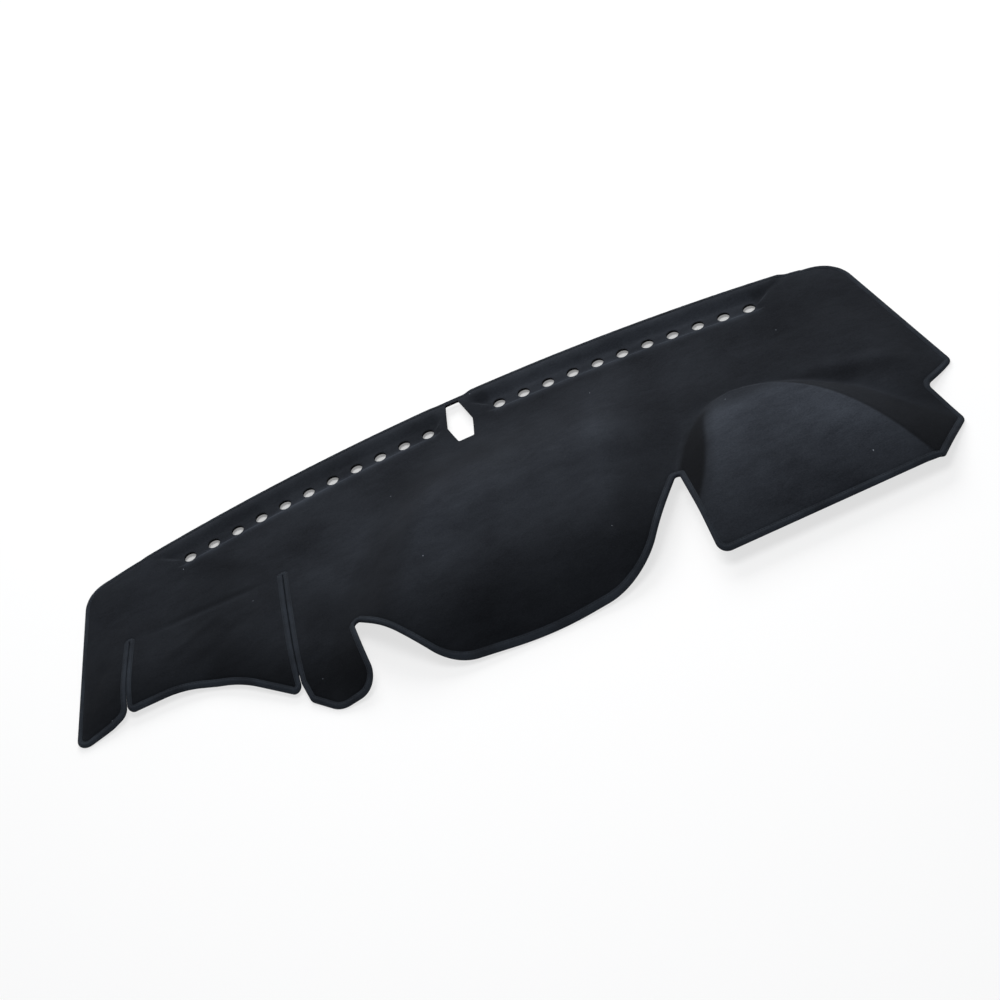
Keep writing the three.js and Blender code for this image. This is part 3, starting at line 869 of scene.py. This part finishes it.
class StudioSizes(bpy.types.PropertyGroup):
    """The plain studio that the mat lies in."""
    floor_colour: colour_property("Floor Colour", "Colour of the floor", "#f4f4f4")
    key_power: FloatProperty(
        name="Key Light", description="Power of the large light above and behind the mat",
        default=70.0, min=0.0, subtype="POWER")
    top_power: FloatProperty(
        name="Top Light", description="Power of the smaller light over the mat",
        default=38.0, min=0.0, subtype="POWER")
    camera_distance: FloatProperty(
        name="Camera Distance", description="From the camera to the middle of the mat",
        default=3.2, min=0.5, max=20.0, unit="LENGTH")
    camera_height_angle: FloatProperty(
        name="Camera Height Angle", description="Angle of the view above the horizon",
        default=math.radians(42.0), min=0.0, max=math.radians(90.0), subtype="ANGLE")
    camera_roll: FloatProperty(
        name="Camera Roll", description="Turn of the picture about the view, which lifts the mat's right end",
        default=math.radians(23.8), subtype="ANGLE")


class COVERMAT_OT_felt_sheet(bpy.types.Operator):
    """Builds the moulded, pierced felt sheet"""
    bl_idname = "cover_mat.felt_sheet"
    bl_label = "Felt Sheet"

    def execute(self, context):
        sizes = context.scene.cover_mat_felt
        thickness, pitch = sizes.thickness / MM, sizes.grid / MM
        outline = filleted(outline_corners(), 2.4, screen_arc=True)
        holes = [*vent_loops(), window_loop()]
        loops = [outline, *holes, *(shrunk(hole, -CUT_RING) for hole in holes)]
        # Rings beside the outline follow the pressed rim and the felt's swell behind the tape
        loops += [shrunk(outline, -reach) for reach in RIM_RINGS]
        points, edges = [], []
        for loop in loops[:1 + 2 * len(holes)]:
            first = sum(len(part) for part in points)
            edges += [(first + k, first + (k + 1) % len(loop)) for k in range(len(loop))]
            points.append(loop)
        rim_loops = loops[1 + 2 * len(holes):]
        for loop in rim_loops:
            away, inside = distance_to(outline, loop[:, 0], loop[:, 1])
            points.append(loop[inside & (away > 2.4)])
        grid = sheet_grid(shrunk(outline, -GRID_START), holes, pitch)
        away, inside = distance_to(outline, grid[:, 0], grid[:, 1])
        points.append(grid[inside & (away > GRID_START + 0.5)])
        flat = np.vstack(points)
        verts, _, faces, *_ = delaunay_2d_cdt([Vector(p) for p in flat.tolist()], edges, [], 0, 1e-4)
        plan = np.array([tuple(vert) for vert in verts])
        triangles = np.array([face for face in faces if len(face) == 3])
        centre = plan[triangles].mean(axis=1)
        _, kept = distance_to(outline, centre[:, 0], centre[:, 1])
        for hole in holes:
            middle = hole.mean(axis=0)
            close = np.hypot(*(centre - middle).T) < np.ptp(hole, axis=0).max()
            _, pierced = distance_to(hole, centre[close, 0], centre[close, 1])
            kept[close] &= ~pierced
        triangles = triangles[kept]
        used = np.unique(triangles)
        renumber = np.full(len(plan), -1)
        renumber[used] = np.arange(len(used))
        plan, triangles = plan[used], renumber[triangles]

        edge_away, _ = distance_to(outline, plan[:, 0], plan[:, 1])
        swell = smooth_rise((edge_away - SWELL_START) / SWELL_REACH)
        half = RIM_HALF * 0.98 + (thickness / 2 - RIM_HALF) * swell
        for hole in holes:
            middle = hole.mean(axis=0)
            close = np.hypot(*(plan - middle).T) < np.ptp(hole, axis=0).max()
            away, _ = distance_to(hole, plan[close, 0], plan[close, 1])
            half[close] -= CUT_ROUNDING * np.clip(1 - away / CUT_RING, 0, 1)
        calm = smooth_rise((edge_away - 6) / 40)
        relief = soft_folds(*plan.T) * calm + pile_waves(plan, sizes.waviness / MM) * calm
        top = mould(plan[:, 0], plan[:, 1], half, relief)
        bottom = mould(plan[:, 0], plan[:, 1], -half, relief)

        count = len(plan)
        a, b, c = plan[triangles[:, 0]], plan[triangles[:, 1]], plan[triangles[:, 2]]
        turn = (b[:, 0] - a[:, 0]) * (c[:, 1] - a[:, 1]) - (b[:, 1] - a[:, 1]) * (c[:, 0] - a[:, 0])
        triangles[turn < 0] = triangles[turn < 0][:, ::-1]
        sides = np.vstack([triangles[:, [0, 1]], triangles[:, [1, 2]], triangles[:, [2, 0]]])
        ways = {(p, q) for p, q in sides.tolist()}
        walls = [(q, p, p + count, q + count) for p, q in ways if (q, p) not in ways]
        walls.sort()
        faces = triangles.tolist() + (triangles[:, ::-1] + count).tolist() + walls
        felt = brushed_felt({
            "valley": hex_of(sizes.pile_valley),
            "tip": hex_of(sizes.pile_tip),
            "sheen": sizes.sheen,
            "sheen_colour": hex_of(sizes.sheen_colour),
        })
        # Painted shade and light on the top face's points; the bottom face is left at 1
        tone = painted_form_shade(plan[:, 0], plan[:, 1])
        piece = new_piece("felt_sheet", np.vstack([top, bottom]), faces, [felt, cut_felt()])
        for polygon in piece.data.polygons[2 * len(triangles):]:
            polygon.material_index = 1
        layer = piece.data.attributes.new("painted_form_shade", "FLOAT", "POINT")
        layer.data.foreach_set("value", np.concatenate([tone, np.ones(count)]).astype(np.float32))
        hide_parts("mat_panel")
        return {"FINISHED"}


class COVERMAT_OT_edge_binding(bpy.types.Operator):
    """Builds the folded tape round the edge, with its rows of stitches"""
    bl_idname = "cover_mat.edge_binding"
    bl_label = "Edge Binding"

    def execute(self, context):
        sizes = context.scene.cover_mat_binding
        outline = filleted(outline_corners(), 1.9, screen_arc=True)
        outward = outward_normals(outline)
        width, bulge = sizes.width / MM, sizes.bulge / MM
        piece = self.tape(outline, outward, width, bulge, sizes)
        stitches = self.stitches(outline, outward, width, bulge, sizes)
        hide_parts("edge_binding")
        return {"FINISHED"}

    def tape(self, outline, outward, width, bulge, sizes):
        # Section from the tape's inner edge on the top face, over the fold, to the face below
        face = [
            (-width, RIM_HALF + 0.15),
            (-width - 0.1, RIM_HALF + 0.35 * bulge),
            (-width * 0.9, RIM_HALF + 0.55 * bulge),
            (-width * SEAM_SHARE, RIM_HALF + SEAM_RISE * bulge),
            (-width * 0.62, RIM_HALF + 0.78 * bulge),
            (-width * 0.42, RIM_HALF + bulge),
            (-width * 0.2, RIM_HALF + 0.97 * bulge),
            (0.1, RIM_HALF + 0.72 * bulge),
            (CHANNEL_BACK * 0.62, RIM_HALF + 0.2 * bulge),
            (CHANNEL_BACK * 0.93, 0.7),
        ]
        section = face + [(out, -offset) for out, offset in reversed(face)]
        section += [(0.2, -RIM_HALF - 0.05), (0.2, RIM_HALF + 0.05)]
        rings = len(outline)
        along = length_along(outline)
        # The tape puckers a little between its stitches and round tight bends
        pucker = np.array([noise.noise((distance / 6.5, 0.0, 4.7)) for distance in along[:-1]]) * 0.22
        columns = []
        for out, offset in section:
            place = outline + outward * out
            swell = pucker * math.copysign(1, offset) * smooth_rise(abs(offset) - RIM_HALF)
            columns.append(mould(place[:, 0], place[:, 1], offset + swell))
        vertices = np.stack(columns, axis=1).reshape(-1, 3)
        count = len(section)
        girth = np.concatenate([[0], np.cumsum([math.dist(section[k], section[(k + 1) % count])
                                               for k in range(count)])])
        faces, lay = [], []
        for ring in range(rings):
            following = (ring + 1) % rings
            for side in range(count):
                across = (side + 1) % count
                faces.append((
                    ring * count + side, ring * count + across,
                    following * count + across, following * count + side,
                ))
                lay += [
                    (along[ring], girth[side]), (along[ring], girth[side + 1]),
                    (along[ring + 1], girth[side + 1]), (along[ring + 1], girth[side]),
                ]
        material = woven_tape({"shade": hex_of(sizes.tape_shade), "light": hex_of(sizes.tape_light)})
        piece = new_piece("binding_tape", vertices, faces, [material], smooth_angle=75)
        layer = piece.data.uv_layers.new(name="tape")
        layer.data.foreach_set("uv", np.array(lay, dtype=np.float32).ravel())
        return piece

    def stitches(self, outline, outward, width, bulge, sizes):
        along = length_along(outline)
        pitch = sizes.stitch_length / MM * 1.28
        count = round(along[-1] / pitch)
        pitch = along[-1] / count
        row = outline - outward * width * SEAM_SHARE
        closed_row = np.vstack([row, row[:1]])
        # Each stitch dips into the tape at both ends: share of its length, rise and half thickness
        beads = (
            (0.0, -0.25, 0.1), (0.18, 0.12, 0.27), (0.5, 0.3, 0.3), (0.82, 0.12, 0.27), (1.0, -0.25, 0.1),
        )
        sides = sizes.stitch_sides
        vertices, faces = [], []
        surface = RIM_HALF + SEAM_RISE * bulge
        for face in (1, -1):
            shares = np.array([bead[0] for bead in beads])
            distance = (np.arange(count)[:, None] + shares * 0.78).ravel() * pitch
            x = np.interp(distance, along, closed_row[:, 0])
            y = np.interp(distance, along, closed_row[:, 1])
            rise = np.tile([bead[1] for bead in beads], count)
            centre = mould(x, y, face * (surface + rise))
            thick = np.tile([bead[2] for bead in beads], count)
            ahead = np.roll(centre, -1, axis=0) - centre
            ahead[len(beads) - 1::len(beads)] = ahead[len(beads) - 2::len(beads)]
            ahead /= np.linalg.norm(ahead, axis=1)[:, None]
            aside = np.cross(ahead, (0, 0, 1))
            aside /= np.linalg.norm(aside, axis=1)[:, None]
            above = np.cross(aside, ahead)
            base = len(vertices) * sides
            rings = []
            for side in range(sides):
                angle = 2 * math.pi * side / sides
                rings.append(centre + thick[:, None] * (math.cos(angle) * aside + math.sin(angle) * above))
            vertices.extend(np.stack(rings, axis=1))
            for stitch in range(count):
                first = base + stitch * len(beads) * sides
                for bead in range(len(beads) - 1):
                    for side in range(sides):
                        p = first + bead * sides + side
                        q = first + bead * sides + (side + 1) % sides
                        faces.append((p, q, q + sides, p + sides))
                last = first + (len(beads) - 1) * sides
                faces.append(tuple(first + side for side in reversed(range(sides))))
                faces.append(tuple(last + side for side in range(sides)))
        return new_piece("edge_stitches", np.vstack(vertices), faces, [spun_thread()], 80)


class COVERMAT_OT_studio(bpy.types.Operator):
    """Builds the pale floor, the soft lights and the camera"""
    bl_idname = "cover_mat.studio"
    bl_label = "Studio"

    def execute(self, context):
        sizes = context.scene.cover_mat_studio
        scene = context.scene
        colour = hex_of(sizes.floor_colour)
        self.floor(colour)
        self.shade(colour)
        self.world(scene)
        self.area_light("key_light", (0.4, 2.1, 1.75), (0.0, -0.1, 0.0), 1.8, sizes.key_power)
        self.area_light("top_light", (0.1, -0.5, 2.7), (0.0, 0.0, 0.0), 1.2, sizes.top_power)
        self.camera(scene, sizes)
        scene.view_settings.view_transform = "Standard"
        return {"FINISHED"}

    def floor(self, colour):
        reach = FLOOR_REACH
        corners = [(-reach, -reach, 0), (reach, -reach, 0), (reach, reach, 0), (-reach, reach, 0)]
        self.ground("floor", corners, [(0, 1, 2, 3)], [self.paper("white_paper_floor", colour, 0.7)])

    def shade(self, colour):
        """Duller paper under the vents, and a near-black strip of painted shadow under the slits, where the
        mat keeps light off.
        """
        strips, slots = [], []
        for start in VENT_ROW_STARTS:
            x = np.linspace(start - 16, start + VENT_ROW_LENGTH + 16, 24)
            far, near = (np.column_stack([x, screen_y(x) - VENT_ROW_DEPTH + reach]) for reach in (28, -18))
            strips.append((far, near, 0))
        for top, mouth in ((LONG_SLIT_TOP, LONG_SLIT_MOUTH), (SHORT_SLIT_TOP, SHORT_SLIT_MOUTH)):
            run = np.subtract(mouth, top) / math.dist(mouth, top)
            side = np.array([-run[1], run[0]]) * 14
            ends = np.array([top - run * 14, mouth - run * 30]) + (0, 20)
            strips.append((ends - side, ends + side, 1))
        vertices, faces = [], []
        for far, near, slot in strips:
            first, count = len(vertices), len(far)
            for place in (*far, *near):
                x, y = (place + SHIFT[:2]) * MM
                vertices.append((x, y, 0.0002))
            for k in range(first, first + count - 1):
                faces.append((k, k + 1, k + count + 1, k + count))
                slots.append(slot)
        shaded = self.paper("shaded_paper_floor", colour, 0.25)
        # A near-black strip of painted shadow under each slit
        painted_slit_shadow = self.paper("painted_shadow_floor", "#1c1d20", 0.0)
        mesh = self.ground("floor_shade", vertices, faces, [shaded, painted_slit_shadow])
        mesh.polygons.foreach_set("material_index", slots)

    def ground(self, name, vertices, faces, materials):
        mesh = bpy.data.meshes.new(name)
        mesh.from_pydata(vertices, [], faces)
        for material in materials:
            mesh.materials.append(material)
        ground = bpy.data.objects.new(name, mesh)
        bpy.context.scene.collection.objects.link(ground)
        return mesh

    def paper(self, name, colour, share):
        """Matt uncoated paper. A share of it is seen as plain white, which doesn't light the mat."""
        material, tree, output = new_material(name)
        matt = add_node(tree, "ShaderNodeBsdfDiffuse", {"Color": rgb(colour)})
        white = add_node(tree, "ShaderNodeEmission", {"Color": rgb("#ffffff"), "Strength": 1.0})
        seen = self.seen_share(tree, share)
        mixed = add_node(tree, "ShaderNodeMixShader", {0: seen, 1: matt.outputs[0], 2: white.outputs[0]})
        tree.links.new(mixed.outputs[0], output.inputs["Surface"])
        return material

    def seen_share(self, tree, share):
        """A share of plain white for what the camera, gloss and glass see, and none for the lighting."""
        path = add_node(tree, "ShaderNodeLightPath").outputs
        straight_view = add_node(tree, "ShaderNodeMath", {
            0: path["Is Camera Ray"], 1: path["Is Glossy Ray"],
        }, operation="MAXIMUM").outputs[0]
        view = add_node(tree, "ShaderNodeMath", {
            0: straight_view, 1: path["Is Transmission Ray"],
        }, operation="MAXIMUM").outputs[0]
        return add_node(tree, "ShaderNodeMath", {0: view, 1: share}, operation="MULTIPLY").outputs[0]

    def world(self, scene):
        world = bpy.data.worlds.new("studio_air")
        world.use_nodes = True
        tree = world.node_tree
        tree.nodes.clear()
        output = add_node(tree, "ShaderNodeOutputWorld")
        ambient = add_node(tree, "ShaderNodeBackground", {"Color": rgb("#eef2f8"), "Strength": 0.25})
        white = add_node(tree, "ShaderNodeBackground", {"Color": rgb("#ffffff"), "Strength": 1.0})
        seen = self.seen_share(tree, 1.0)
        mixed = add_node(tree, "ShaderNodeMixShader", {0: seen, 1: ambient.outputs[0], 2: white.outputs[0]})
        tree.links.new(mixed.outputs[0], output.inputs["Surface"])
        scene.world = world

    def area_light(self, name, place, target, size, power):
        light = bpy.data.lights.new(name, "AREA")
        light.shape = "SQUARE"
        light.size = size
        light.energy = power
        lamp = bpy.data.objects.new(name, light)
        lamp.location = place
        lamp.rotation_euler = (Vector(target) - Vector(place)).to_track_quat("-Z", "Y").to_euler()
        bpy.context.scene.collection.objects.link(lamp)

    def camera(self, scene, sizes):
        target = Vector((SHIFT + VIEW_MIDDLE) * MM)
        tilt = sizes.camera_height_angle
        away = Vector((0, -math.cos(tilt), math.sin(tilt)))
        data = bpy.data.cameras.new("camera")
        data.sensor_width = 36.0
        data.lens = LENS
        camera = bpy.data.objects.new("camera", data)
        upright = (-away).to_track_quat("-Z", "Y").to_matrix().to_4x4()
        turned = upright @ Matrix.Rotation(-sizes.camera_roll, 4, "Z")
        camera.matrix_world = Matrix.Translation(target + away * sizes.camera_distance) @ turned
        scene.collection.objects.link(camera)
        scene.camera = camera


class COVERMAT_PT_panel(bpy.types.Panel):
    """Sizes and steps of the cover mat"""
    bl_idname = "COVERMAT_PT_panel"
    bl_label = "Cover Mat"
    bl_space_type = "VIEW_3D"
    bl_region_type = "UI"
    bl_category = "Cover Mat"

    def draw(self, context):
        layout = self.layout
        steps = (
            (context.scene.cover_mat_felt, COVERMAT_OT_felt_sheet),
            (context.scene.cover_mat_binding, COVERMAT_OT_edge_binding),
            (context.scene.cover_mat_studio, COVERMAT_OT_studio),
        )
        for group, operator in steps:
            box = layout.box()
            for name in group.bl_rna.properties.keys():
                if name not in {"rna_type", "name"}:
                    box.prop(group, name)
            box.operator(operator.bl_idname)


CLASSES = (
    FeltSizes,
    BindingSizes,
    StudioSizes,
    COVERMAT_OT_felt_sheet,
    COVERMAT_OT_edge_binding,
    COVERMAT_OT_studio,
    COVERMAT_PT_panel,
)


def register():
    for item in CLASSES:
        bpy.utils.register_class(item)
    bpy.types.Scene.cover_mat_felt = PointerProperty(type=FeltSizes)
    bpy.types.Scene.cover_mat_binding = PointerProperty(type=BindingSizes)
    bpy.types.Scene.cover_mat_studio = PointerProperty(type=StudioSizes)


def unregister():
    del bpy.types.Scene.cover_mat_studio
    del bpy.types.Scene.cover_mat_binding
    del bpy.types.Scene.cover_mat_felt
    for item in reversed(CLASSES):
        bpy.utils.unregister_class(item)


def main():
    register()
    bpy.ops.cover_mat.studio()
    bpy.ops.cover_mat.felt_sheet()
    bpy.ops.cover_mat.edge_binding()


if __name__ == "__main__":
    main()
